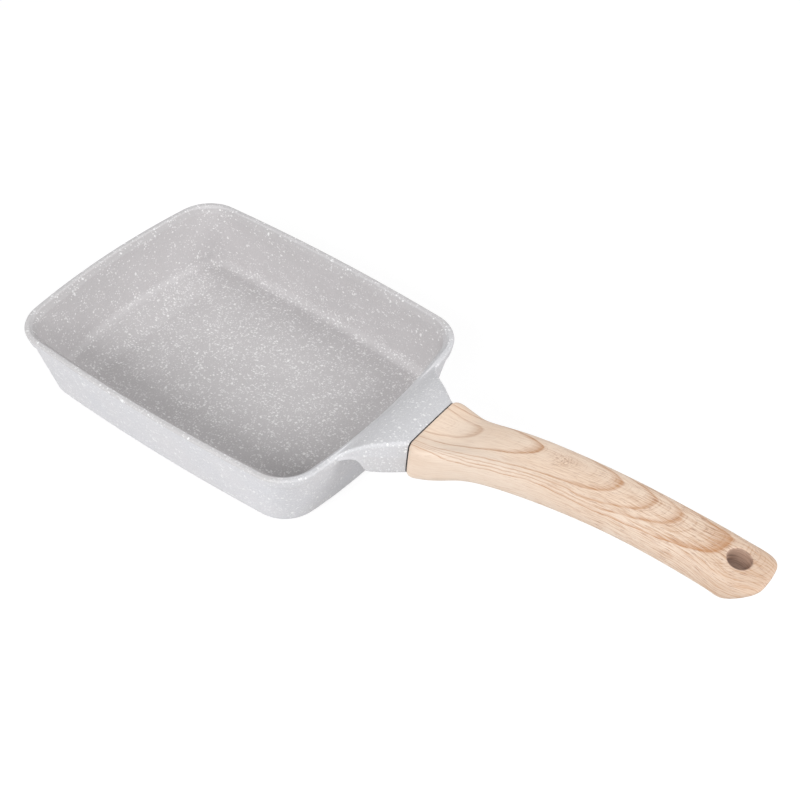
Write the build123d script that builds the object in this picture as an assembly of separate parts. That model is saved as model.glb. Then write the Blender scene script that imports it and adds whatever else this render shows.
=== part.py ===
"""A rectangular rolled-omelette pan: a cast pan with a lug, an induction plate, a seal and a handle.

Millimetres. The origin is on the resting face of the base, below the centre of the rim.
+X runs from the pan to the tip of the handle, +Z is up, and the XZ plane is the plane of symmetry.
"""
from build123d import *
from math import cos, radians, sin, sqrt
import os

# Rim of the pan, over its outer edge
RIM_LENGTH = 180.0
RIM_WIDTH_AT_HANDLE = 130.0
RIM_WIDTH_AT_FRONT = 137.0
RIM_END_BOW = 6.0
RIM_SIDE_BOW = 3.2
RIM_CORNER = 20.0
PAN_HEIGHT = 37.7

# Foot of the outer wall, set in from the rim
FOOT_INSET_HANDLE = 8.6
FOOT_INSET_FRONT = 6.7
FOOT_INSET_SIDE = 7.1
FOOT_END_BOW = 6.6
FOOT_SIDE_BOW = 2.4
FOOT_CORNER = 18.5
FOOT_ROUND = 5.0

# Wall, floor and the rolled lip
WALL = 2.8
FRONT_WALL = 7.5
FLOOR = 4.6
FLOOR_ROUND = 5.0
RAMP_RUN = 15.3
RAMP_RISE = 4.6
RAMP_BEND = 10.0
LIP_HEIGHT = 4.6
LIP_OVERHANG = 1.2
LIP_DRAFT = 0.8
LIP_THICKNESS = 2.3
LIP_UNDERCUT_HEIGHT = 1.8
LIP_ROUND = 0.95
LIP_BLEND = 1.6
BAND_HEIGHT = 2.6

# Cast lug that carries the handle
LUG_INSET = 5.5
LUG_RUN = 25.8
LUG_DROP = 1.7
LUG_END_WIDTH = 34.0
LUG_END_DEPTH = 17.4
LUG_END_CORNER = 2.2
LUG_FLARE = 2.4
LUG_SHOULDER_RISE = 6.9
LUG_ROOT_WIDTH = 80.0
LUG_ROOT_DEPTH = 10.0
LUG_CORNER = 1.8
LUG_CROWN = 0.25
ARCH_SETBACK = 6.0
ARCH_RUN = 9.5
ARCH_DROP = 2.8
ARCH_BITE = 0.4

# Tongue of the lug inside the handle
TONGUE_LENGTH = 26.0
TONGUE_WIDTH = 20.0
TONGUE_DEPTH = 7.0
TONGUE_CORNER = 2.2
TONGUE_LIFT = 1.0
TONGUE_TILT = 14.0
TONGUE_DRAFT = 0.4
SOCKET_CLEARANCE = 0.3
SOCKET_END_ROOM = 1.6

# Seal between the lug and the handle
SEAL_THICKNESS = 0.9
SEAL_INSET = 0.25
SEAL_CORNER = 2.2

# Handle
HANDLE_RUN = 144.4
HANDLE_RISE = 19.6
HANDLE_LIFT = 0.55
GRIP_WIDTH = 26.2
GRIP_DEPTH = 18.4
GRIP_FLARE = 2.4
GRIP_TOP_CROWN = 1.5
GRIP_SIDE_CROWN = 2.0
GRIP_CORNER = 6.0
HOLE_RADIUS = 4.5
HOLE_FROM_TIP = 7.2
HOLE_LEAD_IN = 0.8

# Screw, washers and their hole in the underside of the handle
SCREW_RADIUS = 2.5
SCREW_LENGTH = 11.0
SCREW_SETBACK = 15.0
SCREW_CLEARANCE = 0.05
SCREW_HOLE_RADIUS = 2.8
HEAD_RADIUS = 4.5
HEAD_HEIGHT = 2.8
HEAD_ROUND = 0.9
RECESS_LENGTH = 4.8
RECESS_WIDTH = 0.95
RECESS_DEPTH = 1.7
WASHER_RADIUS = 5.0
WASHER_THICKNESS = 1.0
SPRING_RADIUS = 4.4
SPRING_THICKNESS = 1.2
SPRING_GAP = 0.8
COUNTERBORE_RADIUS = 5.5
SCREW_WEB = 2.4

# Perforated steel plate pressed into the base
PLATE_MARGIN = 6.0
PLATE_THICKNESS = 0.6
PLATE_CLEARANCE = 0.1
PLATE_HOLE_RADIUS = 2.0
PLATE_HOLE_PITCH = 16.0
PLATE_HOLE_EDGE = 8.0

# How far a cutting shape runs past what it cuts
OVERRUN = 2.0

# Places that follow from the sizes
LUG_START = RIM_LENGTH / 2 - LUG_INSET
LUG_END = LUG_START + LUG_RUN
LUG_END_CENTRE = PAN_HEIGHT - LUG_DROP
FOOT_LENGTH = RIM_LENGTH - FOOT_INSET_HANDLE - FOOT_INSET_FRONT
FOOT_MIDDLE = (FOOT_INSET_FRONT - FOOT_INSET_HANDLE) / 2
WEB_LEVEL = -TONGUE_DEPTH / 2 - SOCKET_CLEARANCE - SCREW_WEB
UPRIGHT = (Align.CENTER, Align.CENTER, Align.MIN)

# Lug sections: share of its run, of its spread from end width to root width, of its shoulder rise,
# and of its growth from root depth to end depth
LUG_RUN_SHARES = (0.0, 0.14, 0.27, 0.42, 0.6, 0.8, 1.0)
LUG_SPREAD_SHARES = (1.0, 0.74, 0.58, 0.45, 0.315, 0.155, 0.0)
LUG_RISE_SHARES = (-0.12, 0.12, 0.4, 0.64, 0.83, 0.95, 1.0)
LUG_DEPTH_SHARES = (0.0, 0.2, 0.48, 0.73, 0.92, 1.02, 1.0)

# Handle sections: share of the run, of the rise, of the grip's width and depth, of the flare,
# of the crowns, and of the corner radius; then the section's lean, as its shift along X over its height
RUN_SHARES = (0.0, 0.006, 0.017, 0.04, 0.075, 0.116, 0.158, 0.255, 0.421, 0.65, 0.809, 0.892, 0.94, 0.972,
              0.986, 0.995, 1.0)
RISE_SHARES = (0.0, 0.0, 0.0, 0.01, 0.05, 0.14, 0.275, 0.535, 0.81, 1.0, 1.01, 0.985, 0.955, 0.93,
               0.92, 0.915, 0.91)
WIDTH_SHARES = (1.29, 1.385, 1.43, 1.41, 1.32, 1.17, 1.07, 1.0, 0.965, 0.925, 0.94, 0.94, 0.93, 0.915,
                0.855, 0.7, 0.44)
DEPTH_SHARES = (0.93, 0.955, 0.975, 0.985, 0.995, 1.005, 1.01, 1.0, 0.95, 0.845, 0.77, 0.755, 0.75, 0.745,
                0.715, 0.64, 0.52)
FLARE_SHARES = (1.0, 1.0, 1.0, 0.8, 0.55, 0.3, 0.1, 0.0, 0.0, 0.0, 0.0, 0.0, 0.0, 0.0, 0.0, 0.0, 0.0)
CROWN_SHARES = (0.15, 0.2, 0.25, 0.35, 0.5, 0.65, 0.8, 0.9, 1.0, 1.0, 1.0, 0.95, 0.9, 0.9, 0.85, 0.7, 0.45)
CORNER_SHARES = (0.38, 0.45, 0.5, 0.6, 0.75, 0.85, 0.92, 0.95, 1.0, 0.92, 0.85, 0.83, 0.83, 0.83,
                 0.8, 0.66, 0.42)
LEAN_SHARES = (0.0, 0.0, 0.0, 0.0, 0.0, 0.0, 0.0, 0.0, 0.0, 0.0, 0.01, 0.26, 0.57, 0.83, 0.96, 1.05, 1.1)


def bowed_face(length, width, other_width, end_bow, side_bow, corner):
    """A flat shape of four bowed sides with round corners, width wide at its +x end."""
    x = length / 2 - end_bow
    y = width / 2 - side_bow
    other_y = other_width / 2 - side_bow
    middle_y = (width + other_width) / 4
    a, b, c, d = (x, -y), (x, y), (-x, other_y), (-x, -other_y)
    sides = [
        ThreePointArc(a, (length / 2, 0), b),
        ThreePointArc(b, (0, middle_y), c),
        ThreePointArc(c, (-length / 2, 0), d),
        ThreePointArc(d, (0, -middle_y), a),
    ]
    face = make_face(sides)
    return fillet(face.vertices(), corner)


def rim_section(inset, height):
    """The rim's outline, drawn in by inset, at a height."""
    face = bowed_face(RIM_LENGTH - 2 * inset, RIM_WIDTH_AT_HANDLE - 2 * inset,
                      RIM_WIDTH_AT_FRONT - 2 * inset, RIM_END_BOW, RIM_SIDE_BOW, RIM_CORNER - inset)
    return Pos(0, 0, height) * face


def foot_section(inset, front_inset):
    """The foot's outline on the resting plane, drawn in by inset, and by front_inset at the front."""
    sides = 2 * (FOOT_INSET_SIDE + inset)
    face = bowed_face(FOOT_LENGTH - inset - front_inset, RIM_WIDTH_AT_HANDLE - sides,
                      RIM_WIDTH_AT_FRONT - sides, FOOT_END_BOW, FOOT_SIDE_BOW, FOOT_CORNER - inset)
    return Pos(FOOT_MIDDLE + (front_inset - inset) / 2, 0, 0) * face


def edges_at(solid, height):
    """The edges that lie wholly at a height."""
    near = PAN_HEIGHT / 10000
    return [e for e in solid.edges() if abs(e.bounding_box().min.Z - height) < near
            and abs(e.bounding_box().max.Z - height) < near]


def outer_form():
    """The outside of the pan: drafted wall, undercut and lip band, rounded at foot, undercut and crest."""
    lip_bottom = PAN_HEIGHT - LIP_HEIGHT
    wall_top = lip_bottom - LIP_UNDERCUT_HEIGHT
    body = loft([foot_section(0, 0), rim_section(LIP_OVERHANG + LIP_DRAFT, wall_top),
                 rim_section(LIP_DRAFT, lip_bottom), rim_section(0, PAN_HEIGHT)], ruled=True)
    body = fillet(edges_at(body, PAN_HEIGHT), LIP_ROUND)
    body = fillet(edges_at(body, lip_bottom), LIP_BLEND)
    body = fillet(edges_at(body, wall_top), LIP_BLEND)
    return fillet(edges_at(body, 0), FOOT_ROUND)


def floor_block():
    """The metal under the hollow: a flat floor that bends up into a ramp to the front wall."""
    front = FOOT_MIDDLE - FOOT_LENGTH / 2
    foot = front + FRONT_WALL + RAMP_RUN
    top = FLOOR + RAMP_RISE * (foot - front) / RAMP_RUN
    level = Polyline((front, top), (foot, FLOOR), (-front, FLOOR))
    side = make_face([level, Polyline((-front, FLOOR), (-front, -OVERRUN), (front, -OVERRUN), (front, top))])
    bend = side.vertices().sort_by_distance((foot, FLOOR, 0))[0]
    return extrude(Plane.XZ * fillet(bend, RAMP_BEND), RIM_WIDTH_AT_FRONT / 2, both=True)


def cavity_form():
    """The hollow of the pan: floor and ramp, round fillet, drafted wall and the flared band by the rim."""
    band_bottom = PAN_HEIGHT - BAND_HEIGHT
    band_inset = LIP_OVERHANG + LIP_DRAFT + WALL
    overshoot = OVERRUN * (band_inset - LIP_THICKNESS) / BAND_HEIGHT
    hollow = loft([foot_section(WALL, FRONT_WALL), rim_section(band_inset, band_bottom),
                   rim_section(LIP_THICKNESS - overshoot, PAN_HEIGHT + OVERRUN)], ruled=True)
    hollow = fillet(edges_at(hollow, band_bottom), BAND_HEIGHT / 2)
    hollow -= floor_block()
    low = FLOOR + RAMP_RISE + OVERRUN
    near = PAN_HEIGHT / 10000
    edges = [e for e in hollow.edges() if e.bounding_box().max.Z < low and e.bounding_box().size.X > near]
    return fillet(edges, FLOOR_ROUND)


def grip_section(plane, width, depth, flare, top_crown, side_crown, corner):
    """A section of lug, seal or handle: local x is up, local y is across, wider by flare at the bottom."""
    return plane * bowed_face(depth, width - flare, width + flare, top_crown, side_crown, corner)


def upright_plane(x, z, lean=0.0):
    """A section plane at (x, z) that faces +X, its top leaning towards +X by the tangent lean."""
    length = sqrt(1 + lean * lean)
    up = (lean / length, 0, 1 / length)
    return Plane(origin=(x, 0, z), x_dir=up, z_dir=(1 / length, 0, -lean / length))


def lug_form():
    """The lug: a flared root under the rim that narrows and rises to the full section of the handle."""
    end_top = LUG_END_CENTRE + LUG_END_DEPTH / 2
    sections = []
    for at, spread, rise, drop in zip(LUG_RUN_SHARES, LUG_SPREAD_SHARES, LUG_RISE_SHARES, LUG_DEPTH_SHARES):
        width = LUG_END_WIDTH + spread * (LUG_ROOT_WIDTH - LUG_END_WIDTH)
        top = end_top - LUG_SHOULDER_RISE * (1 - rise)
        depth = LUG_ROOT_DEPTH + drop * (LUG_END_DEPTH - LUG_ROOT_DEPTH)
        corner = LUG_CORNER + at * (LUG_END_CORNER - LUG_CORNER)
        plane = upright_plane(LUG_START + at * LUG_RUN, top - depth / 2)
        sections.append(grip_section(plane, width, depth, LUG_FLARE * drop, LUG_CROWN, LUG_CROWN, corner))
    return loft(sections)


def arch_form():
    """The space under the root of the lug, with a curved front that runs out at the lug's underside."""
    high = PAN_HEIGHT - ARCH_DROP
    low = LUG_END_CENTRE - LUG_END_DEPTH / 2 - ARCH_BITE
    near = LUG_START - OVERRUN
    turn = (LUG_START + ARCH_SETBACK, high)
    foot = (LUG_START + ARCH_SETBACK + ARCH_RUN, low)
    curve = Spline(turn, foot, tangents=[(1, 0), (1, 0)])
    rest = Polyline(foot, (foot[0], low - OVERRUN), (near, low - OVERRUN), (near, high), turn)
    return extrude(Plane.XZ * make_face([curve, rest]), LUG_ROOT_WIDTH, both=True)


def tongue_plane():
    """The plane across the tongue where it leaves the lug: local x is across, local y is up the tilt."""
    tilt = radians(TONGUE_TILT)
    return Plane(origin=(LUG_END, 0, LUG_END_CENTRE), x_dir=(0, 1, 0), z_dir=(cos(tilt), 0, sin(tilt)))


def tongue_form(length, room, back):
    """The tongue, or with room its socket: a tapered bar that starts back behind the face of the lug."""
    def face(at, draw):
        shape = RectangleRounded(TONGUE_WIDTH + 2 * room - draw, TONGUE_DEPTH + 2 * room - draw,
                                 TONGUE_CORNER + room - draw / 2)
        return tongue_plane() * Pos(0, TONGUE_LIFT, at) * shape
    return loft([face(-back, 0), face(0, 0), face(length, 2 * TONGUE_DRAFT)], ruled=True)


def screw_place(up):
    """A point on the screw's axis, up from the middle of the tongue, with the axis as local z."""
    plane = tongue_plane()
    middle = plane.origin + plane.z_dir * (SCREW_SETBACK + SEAL_THICKNESS) + plane.y_dir * (TONGUE_LIFT + up)
    return Location(Plane(origin=middle, x_dir=plane.x_dir, z_dir=plane.y_dir))


def upward_cylinder(radius, height, up):
    """A cylinder on the screw's axis that stands on the level up."""
    return screw_place(up) * Cylinder(radius, height, align=UPRIGHT)


def plate_holes():
    """Centres of the plate's holes, in rows and columns about the middle of the foot."""
    border = FOOT_ROUND + PLATE_MARGIN + PLATE_HOLE_EDGE
    length = FOOT_LENGTH - 2 * border
    width = RIM_WIDTH_AT_HANDLE - 2 * FOOT_INSET_SIDE - 2 * border
    columns = int(length / PLATE_HOLE_PITCH) + 1
    rows = int(width / PLATE_HOLE_PITCH) + 1
    grid = GridLocations(PLATE_HOLE_PITCH, PLATE_HOLE_PITCH, columns, rows)
    return [Pos(FOOT_MIDDLE, 0, 0) * place for place in grid]


def plate_form(grow, height):
    """The outline of the plate, grown by grow, from the resting face up to a height."""
    inset = FOOT_ROUND + PLATE_MARGIN - grow
    return extrude(foot_section(inset, inset), height)


def make_pan_body():
    """The casting: vessel, lug and tongue, with the recess and studs of the induction plate."""
    casting = outer_form() + (lug_form() - arch_form())
    casting -= cavity_form()
    casting += tongue_form(TONGUE_LENGTH, 0, OVERRUN)
    casting -= upward_cylinder(SCREW_RADIUS + SCREW_CLEARANCE, TONGUE_DEPTH + 2 * OVERRUN,
                               -TONGUE_DEPTH / 2 - OVERRUN)
    casting -= plate_form(PLATE_CLEARANCE, PLATE_THICKNESS)
    stud = Cylinder(PLATE_HOLE_RADIUS - PLATE_CLEARANCE, PLATE_THICKNESS, align=UPRIGHT)
    return casting + [place * stud for place in plate_holes()]


def make_induction_plate():
    """The perforated plate, flush with the foot."""
    hole = Cylinder(PLATE_HOLE_RADIUS, PLATE_THICKNESS, align=UPRIGHT)
    return plate_form(0, PLATE_THICKNESS) - [place * hole for place in plate_holes()]


def make_handle_seal():
    """The thin seal with the shape of the lug's end and a window for the tongue."""
    plane = upright_plane(LUG_END, LUG_END_CENTRE)
    outline = grip_section(plane, LUG_END_WIDTH - 2 * SEAL_INSET, LUG_END_DEPTH - 2 * SEAL_INSET, LUG_FLARE,
                           LUG_CROWN, LUG_CROWN, SEAL_CORNER)
    return extrude(outline, SEAL_THICKNESS) - tongue_form(TONGUE_LENGTH, SOCKET_CLEARANCE, OVERRUN)


def handle_form():
    """The outside of the handle, from the flat-topped front to the oval tail that leans back below."""
    start = LUG_END + SEAL_THICKNESS
    sections = []
    for at, rise, wide, deep, flare, crown, round_, lean in zip(
            RUN_SHARES, RISE_SHARES, WIDTH_SHARES, DEPTH_SHARES, FLARE_SHARES, CROWN_SHARES, CORNER_SHARES,
            LEAN_SHARES):
        level = LUG_END_CENTRE + HANDLE_LIFT + rise * HANDLE_RISE
        plane = upright_plane(start + at * HANDLE_RUN, level, lean)
        depth = deep * GRIP_DEPTH * sqrt(1 + lean * lean)
        sections.append(grip_section(plane, wide * GRIP_WIDTH, depth, flare * GRIP_FLARE,
                                     crown * GRIP_TOP_CROWN, crown * GRIP_SIDE_CROWN, round_ * GRIP_CORNER))
    return loft(sections)


def make_handle():
    """The moulded handle with its socket, its hanging hole and the screw's counterbore."""
    handle = handle_form()
    handle -= tongue_form(TONGUE_LENGTH + SOCKET_END_ROOM, SOCKET_CLEARANCE, OVERRUN)
    handle -= upward_cylinder(SCREW_HOLE_RADIUS, SCREW_WEB + OVERRUN, WEB_LEVEL - OVERRUN / 2)
    handle -= upward_cylinder(COUNTERBORE_RADIUS, GRIP_DEPTH, WEB_LEVEL - GRIP_DEPTH)
    hole_x = LUG_END + SEAL_THICKNESS + HANDLE_RUN - HOLE_FROM_TIP
    handle -= Pos(hole_x, 0, LUG_END_CENTRE + HANDLE_RISE) * Cylinder(HOLE_RADIUS, 2 * GRIP_DEPTH)
    rims = [e for e in handle.edges() if abs(e.bounding_box().center().X - hole_x) < HOLE_LEAD_IN
            and e.length > 5 * HOLE_RADIUS]
    return fillet(rims, HOLE_LEAD_IN)


def make_handle_screw():
    """The pan-head screw, head down in the counterbore, its shank in the tongue."""
    head = Cylinder(HEAD_RADIUS, HEAD_HEIGHT, align=(Align.CENTER, Align.CENTER, Align.MAX))
    head = fillet(edges_at(head, -HEAD_HEIGHT), HEAD_ROUND)
    for turn in (0, 90):
        slot = Box(RECESS_LENGTH, RECESS_WIDTH, RECESS_DEPTH, align=UPRIGHT)
        head -= Pos(0, 0, -HEAD_HEIGHT) * Rot(0, 0, turn) * slot
    shank = Cylinder(SCREW_RADIUS, SCREW_LENGTH, align=UPRIGHT)
    return screw_place(WEB_LEVEL - WASHER_THICKNESS - SPRING_THICKNESS) * (head + shank)


def make_spring_washer():
    """The split spring washer under the screw's head."""
    ring = Cylinder(SPRING_RADIUS, SPRING_THICKNESS, align=UPRIGHT)
    ring -= Cylinder(SCREW_HOLE_RADIUS, SPRING_THICKNESS, align=UPRIGHT)
    ring -= Pos(SPRING_RADIUS, 0, 0) * Box(2 * SPRING_RADIUS, SPRING_GAP, SPRING_THICKNESS, align=UPRIGHT)
    return screw_place(WEB_LEVEL - WASHER_THICKNESS - SPRING_THICKNESS) * ring


def make_flat_washer():
    """The flat washer on the floor of the counterbore."""
    level = WEB_LEVEL - WASHER_THICKNESS
    disc = upward_cylinder(WASHER_RADIUS, WASHER_THICKNESS, level)
    return disc - upward_cylinder(SCREW_HOLE_RADIUS, WASHER_THICKNESS, level)


def main():
    os.makedirs("parts", exist_ok=True)
    pieces = {
        "pan_body": make_pan_body(),
        "induction_plate": make_induction_plate(),
        "handle_seal": make_handle_seal(),
        "handle": make_handle(),
        "handle_screw": make_handle_screw(),
        "spring_washer": make_spring_washer(),
        "flat_washer": make_flat_washer(),
    }
    for name, piece in pieces.items():
        export_step(piece, f"parts/{name}.step")
        print(name, len(piece.solids()), round(piece.volume, 1))


main()
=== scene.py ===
"""The looks of a rolled-omelette pan: its coating, wood-effect handle, seal, plate and screw."""
import math
import bmesh
import bpy
from mathutils import Matrix, Vector

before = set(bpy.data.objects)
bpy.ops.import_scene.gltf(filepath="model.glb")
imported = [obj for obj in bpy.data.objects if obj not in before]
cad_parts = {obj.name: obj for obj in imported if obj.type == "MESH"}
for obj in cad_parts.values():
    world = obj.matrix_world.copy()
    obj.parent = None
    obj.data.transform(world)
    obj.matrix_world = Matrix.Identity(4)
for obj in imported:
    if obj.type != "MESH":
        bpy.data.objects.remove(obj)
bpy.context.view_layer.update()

MM = 0.001

# The camera, from the outlines of the rim, the floor and the handle: its angles are in radians and
# its lens in millimetres
CAMERA_PLACE = Vector((312.1, -280.6, 406.3)) * MM
CAMERA_HEADING = -0.661
CAMERA_DIP = 0.790
CAMERA_ROLL = -0.001
CAMERA_LENS = 53.6
CAMERA_SENSOR = 36.0
CAMERA_NEAREST = 0.01

# The middle of the pan's wall in millimetres: its half sizes at the foot, how they grow with the
# height, how the sides bow and the corners tighten towards the top, and how softly the tones part
WALL_TOP = 32.0
PAN_HEIGHT = 37.7
FOOT_MIDDLE_LENGTH = 80.95
FOOT_MIDDLE_WIDTH = 58.25
WALL_FLARE = 5.65
LIP_FLARE = 0.5
SIDE_FLARE = 0.9
FOOT_SHIFT = 0.95
MIDDLE_CORNER = 18.0
CORNER_DRAW = 3.4
CORNER_DRAW_RISE = (29.0, 34.5)
END_BOW = 0.0015
SIDE_BOW = 0.00045
TAPER = 0.0208
FLOOR_MIDDLE = 1.8
PARTING = 0.25

# Zones of the coating, from where each starts to where it is full, in millimetres: the first three
# rise up the wall, the next two run along the pan to the handle end's painted light and the lug's
# painted shade, and the painted highlight by the lug ends to either side
WALL_ZONE = (6.0, 15.0)
BAND_ZONE = (34.9, 35.4)
CREST_ZONE = (36.2, 36.9)
LIT_HANDLE_END_ZONE = (74.0, 84.0)
SHADED_LUG_ZONE = (91.0, 96.0)
HIGHLIGHT_PLACE = 86.0
HIGHLIGHT_REACH = 3.0
HIGHLIGHT_ENDS = (30.0, 44.0)

# The coating's flecks: cell and radius in millimetres, the share of cells filled, the share added
# in a crowd, the scale and reach of the stirring that makes them uneven, and their stretch
FINE_FLECKS = (0.8, 0.42, 0.4, 0.8, 1000.0, 0.3, (1.0, 0.65, 1.0))
MIDDLE_FLECKS = (1.2, 0.56, 0.15, 0.65, 700.0, 0.5, (0.6, 1.0, 1.0))
LARGE_FLECKS = (2.6, 0.8, 0.05, 0.6, 450.0, 0.8, (1.0, 1.0, 0.6))
SMALLEST_FLECK = 0.4
FLECK_SOFTNESS = 0.3
MISSING_FLECKS = 0.15
MISSING_ADDED_INSIDE = 0.4

# How strongly the flecks show, how much the fine ones gain inside, the grain's darkest tone and its
# range, and the shade of the band under the rim's crest
FINE_SHOWN = 0.45
FINE_ADDED_INSIDE = 0.25
MIDDLE_SHOWN = 0.9
FLECK_COVER = 0.9
GRAIN_DARKEST = 0.82
GRAIN_RANGE = 0.34
BAND_SHADE = 0.07

# The handle's middle line: its height in millimetres as a polynomial, highest power first, of the
# place along the handle, counted from its middle in steps
ARCH_MIDDLE = 185.0
ARCH_STEP = 75.0
ARCH_CURVE = (-7.585, 3.435, 7.975, -13.105, 8.343, 54.311)

# The handle's grain, in millimetres: the loops' crown line, the top's edge, the burl and the hole,
# then the range of the rings, and each loop's tip, its inner side's fading run and its strength
LOOP_CROWN = 4.2
SHOULDER = 6.2
BURL_X = 172.5
BURL_Y = 2.6
BURL_LENGTH = 5.0
BURL_WIDTH = 2.4
HOLE_X = 248.4
HOLE_RADIUS = 4.5
HOLE_MARGIN = 0.3
HOLE_PULL = 0.4
HOLE_PULL_REACH = 10.0
FIRST_RING = 100.0
LAST_RING = 300.0
LOOPS = ((133.0, 5.0, 0.55), (161.7, 6.0, 0.9), (197.3, 5.0, 0.85), (212.3, 4.0, 0.7),
         (223.1, 4.0, 0.7), (242.1, 9.0, 1.0))
# The loops' line inside and outside its darkest place, how steeply the rings fall to either side of
# the crown, how the side lines widen at the neck, and where the tip's darker grain and tones begin
LOOP_INNER_RUN = 1.8
LOOP_INNER_SHARE = 0.55
LOOP_OUTER_RUN = 1.0
LOOP_STEEPNESS = 0.018
LOOP_EASING = 0.010
LOOP_EASING_RUN = (165.0, 195.0)
FAR_STEEPNESS = 0.5
SIDE_STEEPNESS = 9.0
NECK_WIDENING = 1.42
NECK_RUN = (115.0, 142.0)
FAR_GIRTH = 0.9
SIDE_GIRTH = 1.1
GRAIN_SLANT = 0.02
TOP_EDGE = (9.0, 14.0)
TIP_GRAIN_RUN = (140.0, 225.0)
TIP_WARMTH_RUN = (140.0, 270.0)
TIP_SHADE_RUN = (228.0, 262.0)
PATCH_STRETCH = (30.0, 90.0, 90.0)

# The studio: a pale floor just under the pan, an even room, and soft lamps with place and power
FLOOR_HALF = 4.0
FLOOR_LEVEL = -0.0002
FLOOR_GLOW = 0.86
ROOM_LEVEL = 0.36
LAMP_SIZE = 0.6
LAMP_TARGET = Vector((0.04, 0.0, 0.02))
LAMPS = (
    ("side_softbox", (0.253, -1.21, 0.86), 12.1),
    ("far_softbox", (1.104, 0.614, 0.86), 8.6),
    ("handle_softbox", (1.47, -0.25, 0.42), 1.7),
    ("front_softbox", (-0.75, -0.941, 0.86), 2.35),
    ("top_softbox", (0.1, 0.05, 1.6), 0.7),
)


def srgb(red, green, blue):
    """A colour as a screen shows it, made linear."""
    def linear(shown):
        shown = shown / 255
        return shown / 12.92 if shown <= 0.04045 else ((shown + 0.055) / 1.055) ** 2.4
    return (linear(red), linear(green), linear(blue), 1.0)


# Colours, in pairs where a cloudy pattern runs from one to the other
OUTER_COAT = (srgb(217, 217, 221), srgb(220, 219, 222))
# the inside's darker tone: partly a darker inner coat, partly painted shade for the pan's hollow
INNER_COAT_AND_SHADE = (srgb(195, 192, 193), srgb(199, 196, 197))
# painted shade on the lug
SHADED_LUG_COAT = srgb(209, 208, 210)
# painted shade on the rim's crest, and the paler painted light on it at the handle end
SHADED_CREST_COAT = srgb(204, 202, 203)
LIT_HANDLE_END_CREST = srgb(211, 211, 214)
# painted highlight on the rim's inner edge by the lug
EDGE_HIGHLIGHT = srgb(228, 228, 231)
OUTER_FLECK = srgb(246, 246, 247)
INNER_FLECK_AND_SHADE = srgb(240, 239, 239)
WOOD_TOP = (srgb(250, 229, 209), srgb(246, 222, 200))
WOOD_SIDE = (srgb(237, 219, 202), srgb(233, 212, 193))
WOOD_WARM = srgb(230, 208, 188)
WOOD_TIP = srgb(206, 175, 150)
WOOD_THREAD = srgb(201, 162, 130)
WOOD_LINE = srgb(180, 131, 93)
WOOD_LOOP = srgb(182, 124, 72)
WOOD_DASH = srgb(150, 102, 80)
WOOD_BURL = srgb(160, 108, 76)
# painted shade in the handle's hole
WOOD_BORE_SHADE = (srgb(202, 172, 152), srgb(164, 136, 120))
RUBBER = (srgb(38, 36, 36), srgb(62, 60, 60))
PLATE = (srgb(184, 184, 182), srgb(206, 206, 205))
PLATE_RUB = srgb(168, 166, 163)
SCREW = (srgb(176, 178, 182), srgb(208, 209, 211))
FLOOR_MATTE = srgb(211, 211, 211)
FLOOR_SHADE = (0.2, 0.2, 0.2, 1.0)
WHITE = (1.0, 1.0, 1.0, 1.0)

# A Mix node's sockets for colours, which share their names with its other sockets
MIX_FIRST = 6
MIX_SECOND = 7
MIX_RESULT = 2


class Value:
    """A socket that carries a number, so that sums on it are written as sums."""

    def __init__(self, nodes, socket):
        self.nodes = nodes
        self.socket = socket

    def maths(self, operation, *terms):
        node = self.nodes.node("ShaderNodeMath", {"operation": operation}, dict(enumerate(terms)))
        return Value(self.nodes, node.outputs[0])

    def __add__(self, other):
        return self.maths("ADD", self, other)

    def __radd__(self, other):
        return self.maths("ADD", other, self)

    def __sub__(self, other):
        return self.maths("SUBTRACT", self, other)

    def __rsub__(self, other):
        return self.maths("SUBTRACT", other, self)

    def __mul__(self, other):
        return self.maths("MULTIPLY", self, other)

    def __rmul__(self, other):
        return self.maths("MULTIPLY", other, self)

    def __truediv__(self, other):
        return self.maths("DIVIDE", self, other)

    def __rtruediv__(self, other):
        return self.maths("DIVIDE", other, self)

    def __pow__(self, other):
        return self.maths("POWER", self, other)

    def __rpow__(self, other):
        return self.maths("POWER", other, self)

    def __abs__(self):
        return self.maths("ABSOLUTE", self)

    def above(self, other):
        return self.maths("GREATER_THAN", self, other)

    def below(self, other):
        return self.maths("LESS_THAN", self, other)

    def least(self, other):
        return self.maths("MINIMUM", self, other)

    def most(self, other):
        return self.maths("MAXIMUM", self, other)

    def step(self, low, high):
        """Zero below low, one above high, and a soft rise between."""
        node = self.nodes.node("ShaderNodeMapRange",
                               {"interpolation_type": "SMOOTHSTEP", "clamp": True},
                               {"Value": self, "From Min": low, "From Max": high})
        return Value(self.nodes, node.outputs["Result"])

    def bell(self):
        """One where the value is zero, and falling away smoothly over one to either side."""
        square = self * self * -1.0
        return square.maths("EXPONENT", square)


class Nodes:
    """The nodes of a material or of the world, and the one way to add to them."""

    def __init__(self, owner):
        self.owner = owner
        self.owner.use_nodes = True
        self.tree = owner.node_tree
        self.tree.nodes.clear()

    def node(self, kind, settings, inputs):
        """A node of a kind, with its settings made first and then its sockets filled or linked."""
        node = self.tree.nodes.new(kind)
        for key, setting in settings.items():
            setattr(node, key, setting)
        for key, given in inputs.items():
            socket = node.inputs[key]
            if isinstance(given, Value):
                given = given.socket
            if isinstance(given, bpy.types.NodeSocket):
                self.tree.links.new(given, socket)
            else:
                socket.default_value = given
        return node

    def seen(self):
        """One for what is seen, straight or in metal and glass, and zero for the pan's light."""
        path = self.node("ShaderNodeLightPath", {}, {})
        camera, glossy, clear = (Value(self, path.outputs[name]) for name in (
            "Is Camera Ray", "Is Glossy Ray", "Is Transmission Ray"))
        return camera.most(glossy).most(clear)


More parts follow.
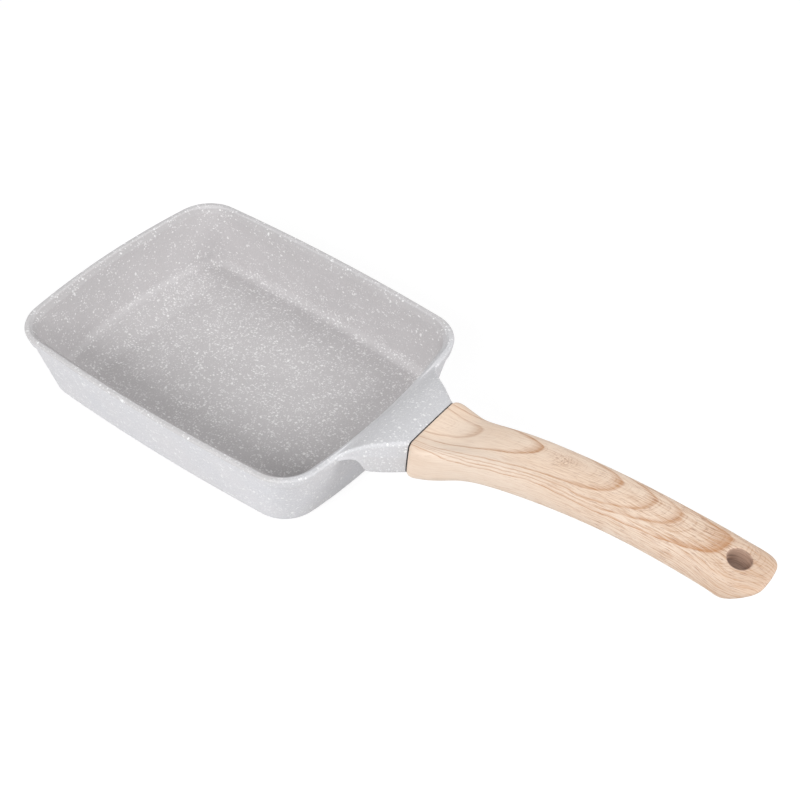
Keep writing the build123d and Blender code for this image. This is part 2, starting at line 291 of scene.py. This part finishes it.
class Finish(Nodes):
    """A material on Object coordinates, built up pattern by pattern."""

    def __init__(self, name):
        super().__init__(bpy.data.materials.new(name))
        self.place = self.node("ShaderNodeTexCoord", {}, {}).outputs["Object"]

    def millimetres(self, vector):
        """The three parts of a vector in metres, as values in millimetres."""
        scaled = self.node("ShaderNodeVectorMath", {"operation": "DIVIDE"},
                           {0: vector, 1: (MM, MM, MM)})
        node = self.node("ShaderNodeSeparateXYZ", {}, {"Vector": scaled.outputs[0]})
        return [Value(self, node.outputs[axis]) for axis in "XYZ"]

    def join(self, x, y, z):
        """A vector from three values."""
        return self.node("ShaderNodeCombineXYZ", {}, {"X": x, "Y": y, "Z": z}).outputs[0]

    def noise(self, vector, scale, detail, roughness=0.5):
        """A cloudy pattern between zero and one."""
        node = self.node("ShaderNodeTexNoise", {"noise_dimensions": "3D", "normalize": True},
                         {"Vector": vector, "Scale": scale, "Detail": detail,
                          "Roughness": roughness})
        return Value(self, node.outputs["Fac"])

    def line_noise(self, value, scale, detail, roughness):
        """A pattern that changes along one value only."""
        node = self.node("ShaderNodeTexNoise", {"noise_dimensions": "1D", "normalize": True},
                         {"W": value, "Scale": scale, "Detail": detail, "Roughness": roughness})
        return Value(self, node.outputs["Fac"])

    def stir(self, vector, scale, reach):
        """The vector, pushed about by a noise of a scale by up to reach."""
        noise = self.node("ShaderNodeTexNoise", {"noise_dimensions": "3D"},
                          {"Vector": vector, "Scale": scale, "Detail": 2.0})
        centred = self.node("ShaderNodeVectorMath", {"operation": "SUBTRACT"},
                            {0: noise.outputs["Color"], 1: (0.5, 0.5, 0.5)})
        pushed = self.node("ShaderNodeVectorMath", {"operation": "SCALE"},
                           {0: centred.outputs[0], "Scale": 2.0 * reach})
        return self.node("ShaderNodeVectorMath", {"operation": "ADD"},
                         {0: vector, 1: pushed.outputs[0]}).outputs[0]

    def stretch(self, vector, scale):
        """The vector, scaled by a different number along each axis."""
        return self.node("ShaderNodeMapping", {"vector_type": "POINT"},
                         {"Vector": vector, "Scale": scale}).outputs[0]

    def flecks(self, vector, cell, radius, share):
        """Scattered grains of up to radius in a share of the cells, with both sizes in metres."""
        node = self.node("ShaderNodeTexVoronoi", {"voronoi_dimensions": "3D", "feature": "F1"},
                         {"Vector": vector, "Scale": 1.0 / cell, "Randomness": 1.0})
        chance = self.node("ShaderNodeSeparateColor", {}, {"Color": node.outputs["Color"]})
        distance = Value(self, node.outputs["Distance"])
        size = Value(self, chance.outputs[0])
        limit = (size * (1.0 - SMALLEST_FLECK) + SMALLEST_FLECK) * (radius / cell)
        there = share - Value(self, chance.outputs[1])
        edge = FLECK_SOFTNESS * radius / cell
        return ((limit - distance) / edge).least(1.0).most(0.0) * there.above(0.0)

    def ramp(self, value, stops):
        """A value read off a line drawn through the stops, each a place and a level."""
        node = self.node("ShaderNodeValToRGB", {}, {"Fac": value})
        marks = node.color_ramp.elements
        for place, level in stops[1:-1]:
            marks.new(place)
        for mark, (place, level) in zip(marks, sorted(stops)):
            mark.position = place
            mark.color = (level, level, level, 1.0)
        return Value(self, node.outputs["Color"])

    def mix(self, factor, first, second):
        """Two colours, mixed."""
        node = self.node("ShaderNodeMix",
                         {"data_type": "RGBA", "blend_type": "MIX", "clamp_factor": True},
                         {"Factor": factor, MIX_FIRST: first, MIX_SECOND: second})
        return node.outputs[MIX_RESULT]

    def tint(self, colour, amount):
        """A colour made lighter or darker by an amount that is one where nothing changes."""
        return self.node("ShaderNodeVectorMath", {"operation": "SCALE"},
                         {0: colour, "Scale": amount}).outputs[0]

    def bump(self, height, depth, strength):
        """A normal from a height pattern, depth metres deep."""
        return self.node("ShaderNodeBump", {}, {"Height": height, "Distance": depth,
                                                "Strength": strength}).outputs["Normal"]

    def surface(self, **sockets):
        """The shader itself, with sockets named in plain words."""
        inputs = {key.replace("_", " ").title(): given for key, given in sockets.items()}
        shader = self.node("ShaderNodeBsdfPrincipled", {}, inputs)
        self.node("ShaderNodeOutputMaterial", {}, {"Surface": shader.outputs[0]})
        return self.owner


def bar(value, low, high):
    """The share of the way from low to high, between zero and one."""
    return ((value - low) / (high - low)).least(1.0).most(0.0)


def cavity_share(x, y, z):
    """One inside the pan and zero outside, parted in the wall's middle and inside the crest."""
    flare = bar(z, 0.0, WALL_TOP) * WALL_FLARE + bar(z, WALL_TOP, PAN_HEIGHT) * LIP_FLARE
    length = FOOT_MIDDLE_LENGTH + flare - y * y * END_BOW
    width = FOOT_MIDDLE_WIDTH + flare * SIDE_FLARE - x * x * SIDE_BOW - x * TAPER
    corner = MIDDLE_CORNER - CORNER_DRAW * bar(z, *CORNER_DRAW_RISE)
    over_x = abs(x + FOOT_SHIFT * (1.0 - bar(z, 0.0, WALL_TOP))) - (length - corner)
    over_y = abs(y) - (width - corner)
    out_x = over_x.most(0.0)
    out_y = over_y.most(0.0)
    reach = (out_x * out_x + out_y * out_y) ** 0.5 + over_x.most(over_y).least(0.0) - corner
    return (1.0 - reach.step(-PARTING, PARTING)) * z.above(FLOOR_MIDDLE)


def fleck_layer(coat, crowd, kept, size):
    """One size of fleck, denser in crowds, of which only a share is kept."""
    cell, radius, filled, added, stir_scale, stir_reach, stretch = size
    pattern = coat.stretch(coat.stir(coat.place, stir_scale, stir_reach * MM), stretch)
    return coat.flecks(pattern, cell * MM, radius * MM, (filled + added * crowd) * kept)


def granite_coating():
    """Matte warm-grey coating, paler outside, the inside partly a darker coat and partly painted
    shade, with pale flecks of three sizes, a satin sheen, and painted light and shade on the crest,
    lug and rim edge.
    """
    coat = Finish("granite_coating")
    x, y, z = coat.millimetres(coat.place)
    band = bar(z, *BAND_ZONE)
    lit_handle_end = bar(x, *LIT_HANDLE_END_ZONE)
    # Painted light: by the handle end the band under the crest takes the paler outer coat and none
    # of the band's shade
    inside = cavity_share(x, y, z) * (1.0 - band * lit_handle_end)
    crowd = coat.noise(coat.place, scale=190.0, detail=3.0, roughness=0.6).step(0.38, 0.62)
    kept = 1.0 - (MISSING_FLECKS + MISSING_ADDED_INSIDE * inside) * bar(z, *WALL_ZONE)
    fine, middle, large = (fleck_layer(coat, crowd, kept, size)
                           for size in (FINE_FLECKS, MIDDLE_FLECKS, LARGE_FLECKS))
    fine = fine * (FINE_SHOWN + FINE_ADDED_INSIDE * inside)
    specks = fine.most(middle * MIDDLE_SHOWN).most(large)
    cloud = coat.noise(coat.place, scale=45.0, detail=3.0, roughness=0.55).step(0.3, 0.7)
    grain = coat.noise(coat.place, scale=1500.0, detail=3.0, roughness=0.65)
    dimples = coat.noise(coat.place, scale=900.0, detail=2.0)
    # Painted highlight: a pale line along the rim's inner edge by the lug, fading to either side
    edge = ((x - HIGHLIGHT_PLACE) / HIGHLIGHT_REACH).bell() * band * (1.0 - bar(abs(y), *HIGHLIGHT_ENDS))
    outer = coat.mix(cloud, *OUTER_COAT)
    # Painted shade: the lug, cast in one with the pan under the same coat, is made darker to stand
    # in for its shade
    outer = coat.mix(bar(x, *SHADED_LUG_ZONE), outer, SHADED_LUG_COAT)
    # Painted shade darkens the rim's crest, and painted light makes it paler towards the handle end
    outer = coat.mix(bar(z, *CREST_ZONE), outer, coat.mix(lit_handle_end, SHADED_CREST_COAT, LIT_HANDLE_END_CREST))
    outer = coat.mix(edge, outer, EDGE_HIGHLIGHT)
    # The darker inside, flecks too, is partly a darker inner coat and partly painted shade for the
    # pan's hollow
    inner = coat.mix(cloud, *INNER_COAT_AND_SHADE)
    level = (GRAIN_DARKEST + GRAIN_RANGE * grain) * (1.0 - BAND_SHADE * band * inside)
    base = coat.tint(coat.mix(inside, outer, inner), level)
    colour = coat.mix(specks * FLECK_COVER, base, coat.mix(inside, OUTER_FLECK, INNER_FLECK_AND_SHADE))
    relief = grain * 0.3 + specks * 0.25 + dimples * 0.6
    return coat.surface(base_color=colour, roughness=0.52 + 0.12 * grain - 0.06 * specks,
                        normal=coat.bump(relief, depth=0.05 * MM, strength=0.4))


def arch_line(x):
    """The height of the handle's middle line above the floor, by its place along the pan."""
    along = (x - ARCH_MIDDLE) / ARCH_STEP
    height = ARCH_CURVE[0]
    for term in ARCH_CURVE[1:]:
        height = along * height + term
    return height


def loop_stops():
    """The loops' dark lines, as places along the rings with their depth of colour from 0 to 1."""
    stops = [(0.0, 0.0)]
    for tip, fade, strength in LOOPS:
        for run, share in ((-fade, 0.0), (-LOOP_INNER_RUN, LOOP_INNER_SHARE), (0.0, 1.0),
                           (LOOP_OUTER_RUN, 0.0)):
            stops.append(((tip + run - FIRST_RING) / (LAST_RING - FIRST_RING), share * strength))
    return stops


def wood_effect():
    """Pale wood grain: loops along the top, lines along the sides, a burl, pores and threads, with
    painted shade in the hole.
    """
    wood = Finish("wood_effect")
    x, y, _ = wood.millimetres(wood.place)
    wavy = wood.stir(wood.place, scale=55.0, reach=1.3 * MM)
    ragged = wood.stir(wavy, scale=500.0, reach=0.14 * MM)
    along, side, height = wood.millimetres(ragged)
    across = side * (1.0 - HOLE_PULL * ((along - HOLE_X) / HOLE_PULL_REACH).bell())
    depth = (SHOULDER - (height - arch_line(along))).most(0.0)
    near = (LOOP_CROWN - across).most(0.0)
    far = (across - LOOP_CROWN).most(0.0)
    steep = LOOP_STEEPNESS - LOOP_EASING * bar(along, *LOOP_EASING_RUN)
    ring = (along + near * near * near * steep + far * far * FAR_STEEPNESS
            + depth * SIDE_STEEPNESS)
    widening = NECK_WIDENING - (NECK_WIDENING - 1.0) * along.step(*NECK_RUN)
    girth = (near + far * FAR_GIRTH) / widening + depth * SIDE_GIRTH + along * GRAIN_SLANT

    def fibres(per_length, per_girth, layer, detail, roughness):
        """A pattern drawn out along the grain, by its changes in a millimetre along and across."""
        drawn = wood.join(along * per_length, girth * per_girth, layer)
        return wood.noise(drawn, 1.0, detail, roughness)

    threads = fibres(0.1, 1.7, layer=0.0, detail=3.0, roughness=0.65)
    dashes = fibres(0.22, 3.0, layer=5.0, detail=2.0, roughness=0.6).step(0.57, 0.7)
    patch = wood.noise(wood.stretch(wood.place, PATCH_STRETCH), 1.0, detail=2.0).step(0.35, 0.7)
    loops = wood.ramp((ring - FIRST_RING) / (LAST_RING - FIRST_RING), loop_stops())
    on_top = 1.0 - bar(near.most(far) + depth, *TOP_EDGE)
    top_lines = wood.line_noise(ring, scale=0.75, detail=3.0, roughness=0.7).step(0.5, 0.7)
    side_lines = wood.line_noise(girth, scale=1.7, detail=3.0, roughness=0.7).step(0.45, 0.75)
    lines = top_lines * on_top * 0.5 + side_lines * (1.0 - on_top * 0.6) * 0.5
    lines = lines * (0.25 + 0.75 * threads.step(0.35, 0.6))
    knots = wood.noise(wood.place, scale=1300.0, detail=2.0, roughness=0.6).step(0.48, 0.62)
    burl = (((along - BURL_X) / BURL_LENGTH).bell() * ((across - BURL_Y) / BURL_WIDTH).bell()
            * knots)
    tip = bar(along, *TIP_GRAIN_RUN)

    colour = wood.mix(on_top, wood.mix(patch, *WOOD_SIDE), wood.mix(patch, *WOOD_TOP))
    for share, tone in (
            (bar(along, *TIP_WARMTH_RUN) * 0.85, WOOD_WARM),
            (bar(along, *TIP_SHADE_RUN) * 0.55, WOOD_TIP),
            (threads.step(0.42, 0.68) * (0.15 + 0.65 * tip), WOOD_THREAD),
            (lines * (0.3 + 0.7 * tip), WOOD_LINE),
            (loops * (0.5 + 0.5 * threads.step(0.3, 0.6)), WOOD_LOOP),
            (dashes * (0.15 + 0.6 * tip), WOOD_DASH),
            (burl * 0.65, WOOD_BURL)):
        colour = wood.mix(share, colour, tone)
    # Painted shade: the bore's wall is darkened where the hole lies in shadow
    off_hole = x - HOLE_X
    shaded_bore = (off_hole * off_hole + y * y).below((HOLE_RADIUS + HOLE_MARGIN) ** 2)
    colour = wood.mix(shaded_bore, colour, wood.mix(threads.step(0.35, 0.65), *WOOD_BORE_SHADE))
    relief = threads * 0.6 - dashes * 0.5 - loops * 0.2
    return wood.surface(base_color=colour, roughness=0.52 + 0.1 * threads,
                        normal=wood.bump(relief, depth=0.06 * MM, strength=0.4))


def seal_rubber():
    """Matte black rubber with a faint bloom."""
    rubber = Finish("seal_rubber")
    bloom = rubber.noise(rubber.place, scale=600.0, detail=3.0, roughness=0.6)
    return rubber.surface(base_color=rubber.mix(bloom, *RUBBER), roughness=0.62 + 0.15 * bloom,
                          normal=rubber.bump(bloom, depth=0.03 * MM, strength=0.4))


def brushed_plate():
    """Pressed stainless plate, brushed along the pan, with rub marks."""
    plate = Finish("brushed_plate")
    brushed = plate.stretch(plate.place, (25.0, 2600.0, 300.0))
    lines = plate.noise(brushed, scale=1.0, detail=3.0, roughness=0.6)
    rubs = plate.noise(plate.place, scale=70.0, detail=4.0, roughness=0.65).step(0.45, 0.75)
    return plate.surface(base_color=plate.mix(rubs * 0.35, plate.mix(lines, *PLATE), PLATE_RUB),
                         metallic=1.0, roughness=0.3 + 0.12 * lines + 0.1 * rubs,
                         normal=plate.bump(lines, depth=0.02 * MM, strength=0.4))


def plated_screw():
    """Bright plated steel with fine turning marks."""
    steel = Finish("plated_screw")
    turned = steel.stretch(steel.place, (900.0, 900.0, 4000.0))
    marks = steel.noise(turned, scale=1.0, detail=2.0, roughness=0.6)
    stain = steel.noise(steel.place, scale=500.0, detail=3.0, roughness=0.6)
    return steel.surface(base_color=steel.mix(stain, *SCREW), metallic=1.0,
                         roughness=0.24 + 0.14 * marks,
                         normal=steel.bump(marks, depth=0.01 * MM, strength=0.5))


def dress(node, material):
    """Gives a CAD node its finish."""
    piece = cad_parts[node]
    piece.data.materials.clear()
    piece.data.materials.append(material)


def hold(name, data):
    """An object in the scene that holds a mesh, a lamp or a camera."""
    holder = bpy.data.objects.new(name, data)
    bpy.context.scene.collection.objects.link(holder)
    return holder


def studio_floor():
    """A wide pale floor that shows white and keeps a faint shadow."""
    form = bmesh.new()
    bmesh.ops.create_grid(form, x_segments=1, y_segments=1, size=FLOOR_HALF,
                          matrix=Matrix.Translation((0.0, 0.0, FLOOR_LEVEL)))
    mesh = bpy.data.meshes.new("studio_floor")
    form.to_mesh(mesh)
    form.free()
    floor = hold("studio_floor", mesh)
    paint = Nodes(bpy.data.materials.new("pale_floor"))
    matte = paint.node("ShaderNodeBsdfDiffuse", {}, {"Color": FLOOR_MATTE})
    shade = paint.node("ShaderNodeBsdfDiffuse", {}, {"Color": FLOOR_SHADE})
    glow = paint.node("ShaderNodeEmission", {}, {"Color": WHITE, "Strength": FLOOR_GLOW})
    shown = paint.node("ShaderNodeAddShader", {}, {0: shade.outputs[0], 1: glow.outputs[0]})
    both = paint.node("ShaderNodeMixShader", {},
                      {0: paint.seen(), 1: matte.outputs[0], 2: shown.outputs[0]})
    paint.node("ShaderNodeOutputMaterial", {}, {"Surface": both.outputs[0]})
    mesh.materials.append(paint.owner)


def studio_light():
    """An even room that shows white, two strong soft lamps and three that fill."""
    world = bpy.data.worlds.new("studio")
    bpy.context.scene.world = world
    room = Nodes(world)
    level = ROOM_LEVEL + (1.0 - ROOM_LEVEL) * room.seen()
    backdrop = room.node("ShaderNodeBackground", {}, {"Color": WHITE, "Strength": level})
    room.node("ShaderNodeOutputWorld", {}, {"Surface": backdrop.outputs[0]})
    for name, spot, power in LAMPS:
        lamp = bpy.data.lights.new(name, "AREA")
        lamp.shape = "SQUARE"
        lamp.size = LAMP_SIZE
        lamp.energy = power
        holder = hold(name, lamp)
        holder.location = spot
        holder.rotation_euler = (LAMP_TARGET - Vector(spot)).to_track_quat("-Z", "Y").to_euler()


def camera():
    """The photograph's view."""
    lens = bpy.data.cameras.new("camera")
    lens.lens = CAMERA_LENS
    lens.sensor_width = CAMERA_SENSOR
    lens.clip_start = CAMERA_NEAREST
    holder = hold("camera", lens)
    ahead = Vector((math.sin(CAMERA_HEADING) * math.cos(CAMERA_DIP),
                    math.cos(CAMERA_HEADING) * math.cos(CAMERA_DIP), -math.sin(CAMERA_DIP)))
    across = Vector((math.cos(CAMERA_HEADING), -math.sin(CAMERA_HEADING), 0.0))
    up = across.cross(ahead)
    right = across * math.cos(CAMERA_ROLL) + up * math.sin(CAMERA_ROLL)
    top = up * math.cos(CAMERA_ROLL) - across * math.sin(CAMERA_ROLL)
    turn = Matrix((right, top, -ahead)).transposed().to_4x4()
    holder.matrix_world = Matrix.Translation(CAMERA_PLACE) @ turn
    bpy.context.scene.camera = holder


dress("pan_body", granite_coating())
dress("induction_plate", brushed_plate())
dress("handle_seal", seal_rubber())
dress("handle", wood_effect())
for fastener in ("handle_screw", "spring_washer", "flat_washer"):
    dress(fastener, plated_screw())

studio_floor()
studio_light()
camera()
bpy.context.scene.view_settings.view_transform = "Standard"
